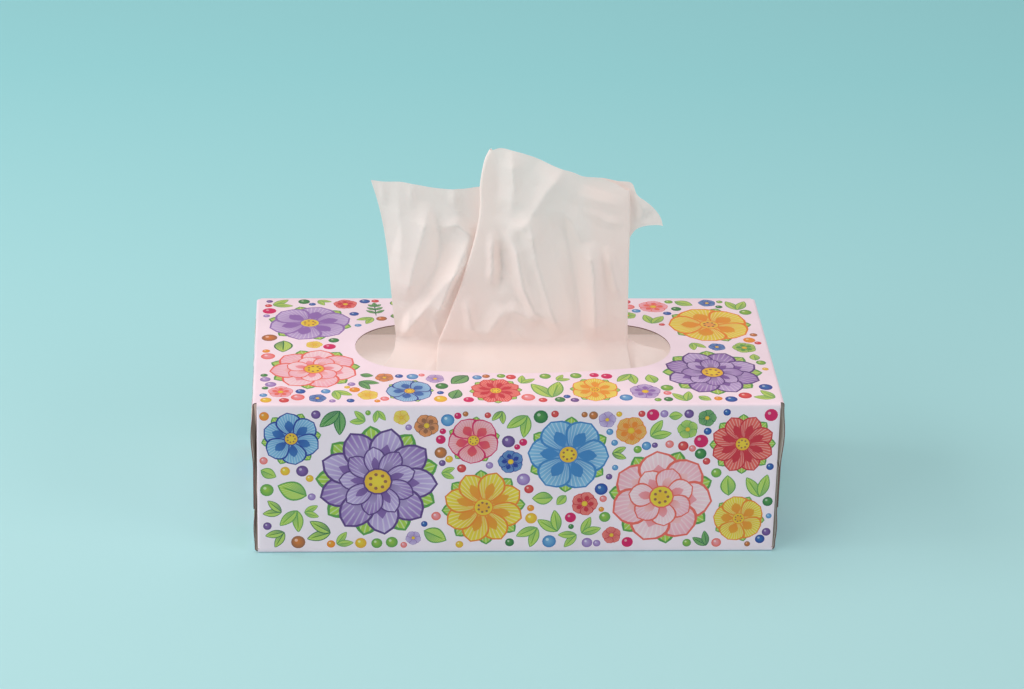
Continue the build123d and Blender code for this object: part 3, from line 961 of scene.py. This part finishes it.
# Creases of the visible layers, by x and z: places, rise towards the front, slope widths, fading share
x, z = sheet[:, :, 0], sheet[:, :, 2]
standing = np.zeros(x.shape)
crease_depth, small_creases, small_heights = 2.3, 26, (78, 160)
layer_creases = [
    (0, left_end, [
        ([(-38, 142), (-41, 131), (-46, 110), (-49, 94)], 2.6, 11, 10, 0.2),
        ([(-38, 142), (-34, 130), (-33, 112)], -1.2, 6, 5, 0.3),
        ([(-19, 129), (-26.7, 113), (-33, 94), (-38, 84)], 3.0, 7, 8, 0.2),
        ([(-18, 120), (-31, 106.6), (-42, 89), (-52, 75)], 1.8, 5, 6, 0.2),
        ([(-35, 129), (-27, 132.5), (-18, 126)], 1.3, 4, 5, 0.2),
        ([(-53, 152), (-51, 128), (-52, 105)], 1.2, 7, 8, 0.3),
        ([(-60, 153), (-58.5, 140)], 0.5, 2.5, 2, 0.4),
        ([(-47, 152), (-46, 139)], 0.6, 3, 2.5, 0.4),
        ([(-28, 150), (-27, 138)], 0.7, 4, 3, 0.4),
        ([(-37, 88), (-33, 76)], 0.8, 3, 3, 0.3),
        ([(-47, 92), (-48, 76)], 0.7, 3, 3, 0.3),
    ]),
    (front_start, front_end, [
        ([(-3, 171), (-1.5, 154), (-3, 139)], 1.8, 7, 9, 0.25),
        ([(22, 163), (13, 152), (5, 138), (-5, 128)], 2.4, 11, 13, 0.2),
        ([(-10.8, 132), (-10.4, 117), (-10.8, 104)], 1.2, 3, 4, 0.25),
        ([(-8, 127), (-5.5, 113), (-7, 100)], -1.4, 4, 5, 0.25),
        ([(-4, 132), (0.5, 122), (3.6, 105), (9, 93), (18, 86)], 2.2, 5, 7, 0.2),
        ([(5.5, 140), (9, 118), (15, 98), (22, 79)], 2.4, 6, 9, 0.15),
        ([(20, 148), (23, 125), (28, 100), (31, 80)], -1.2, 7, 6, 0.25),
        ([(32.5, 126), (35, 112), (37.5, 78)], 2.2, 7, 5, 0.15),
        ([(41, 124), (44, 110), (48, 97)], 1.2, 4, 3, 0.25),
        ([(-13, 79), (-3.8, 95)], 1.4, 5, 6, 0.2),
        ([(-3.8, 95), (12, 86)], 1.2, 5, 5, 0.2),
        ([(20, 158), (34, 152), (49, 147)], -0.7, 8, 6, 0.4),
        ([(24, 150), (38, 145.5), (49, 142)], 1.0, 5, 8, 0.4),
        ([(30, 143), (40, 136), (48, 134)], 0.8, 4, 4, 0.3),
        ([(14, 145), (24, 137), (30, 124)], 1.0, 6, 6, 0.3),
        ([(-22, 100), (-19, 84), (-12, 77)], 1.0, 4, 4, 0.25),
        ([(0, 84), (6, 76)], 0.6, 3, 3, 0.3),
    ]),
    (back_start, len(columns), [
        ([(52, 150), (57, 140), (56, 132)], 1.2, 4, 4, 0.3),
        ([(60, 140), (57, 134)], -0.6, 3, 3, 0.3),
    ]),
]
for first, end, creases in layer_creases:
    across = slice(first, end)
    for points, rise, left, right, fade in creases:
        rise *= crease_depth
        standing[:, across] += crease_rise(x[:, across], z[:, across], points, rise, left, right, fade)
    for _ in range(small_creases):
        foot = (chance.uniform(x[:, across].min(), x[:, across].max()), chance.uniform(*small_heights))
        angle, length = chance.gauss(math.pi / 2, 0.7), chance.uniform(5, 16)
        points = [foot, toward(foot, angle, length)]
        width = chance.uniform(1.5, 3.5)
        rise = chance.uniform(-0.5, 0.8)
        standing[:, across] += crease_rise(x[:, across], z[:, across], points, rise, width, width, 0.5)
# Layers stay together at their folds, and lie flat where the opening gathers them
held = np.ones(x.shape)
for column in (left_end, front_start, front_end, back_start):
    held *= np.clip(np.abs(np.arange(x.shape[1]) - column) / 4, 0, 1)[None, :]
held[:, left_end:front_start] = 0
held[:, front_end:back_start] = 0
held *= down < 1
flat_level, gather_level, fade_height = 74, 75, 5
standing *= held * np.clip((z - flat_level) / fade_height, 0, 1)
gathers = 0.35 * np.sin(x * 0.9 + 1.2 * np.sin(x * 0.23))
gathers = gathers * np.exp(-np.clip(z - gather_level, 0, 99) / fade_height) * held

# Creases of the lapped part, by x and y
y = sheet[:, :, 1]
lapped = np.zeros(x.shape)
for points, rise, left, right in (
    ([(-50, 6), (-58, -6), (-68, -26)], 0.8, 5, 6),
    ([(-32, 2), (-38, -14), (-44, -30)], 0.6, 4, 6),
    ([(-10, 1), (-6, -16), (-8, -30)], 0.35, 7, 7),
    ([(20, 1), (24, -14), (20, -30)], 0.35, 6, 8),
    ([(54, 6), (58, -10), (60, -28)], 0.6, 5, 6),
    ([(-45, -8), (0, -11), (45, -8)], 0.5, 5, 8),
):
    lapped += crease_rise(x, y, points, rise, left, right, 0.2)
lapped *= (down >= 1) * np.clip((2 - y) / 6, 0, 1) * np.clip((y + 46) / 12, 0, 1)
sheet += (standing + gathers + lapped)[:, :, None] * facing[:, None, :]

raised = grid_mesh("raised_sheet", sheet[:, ::-1])
# The raised sheet carries a faint painted glow that brightens it
raised.data.materials.append(tissue_paper("raised_tissue_paper", 0.2, 0.06))
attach(raised, "root")
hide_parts("raised_tissue")
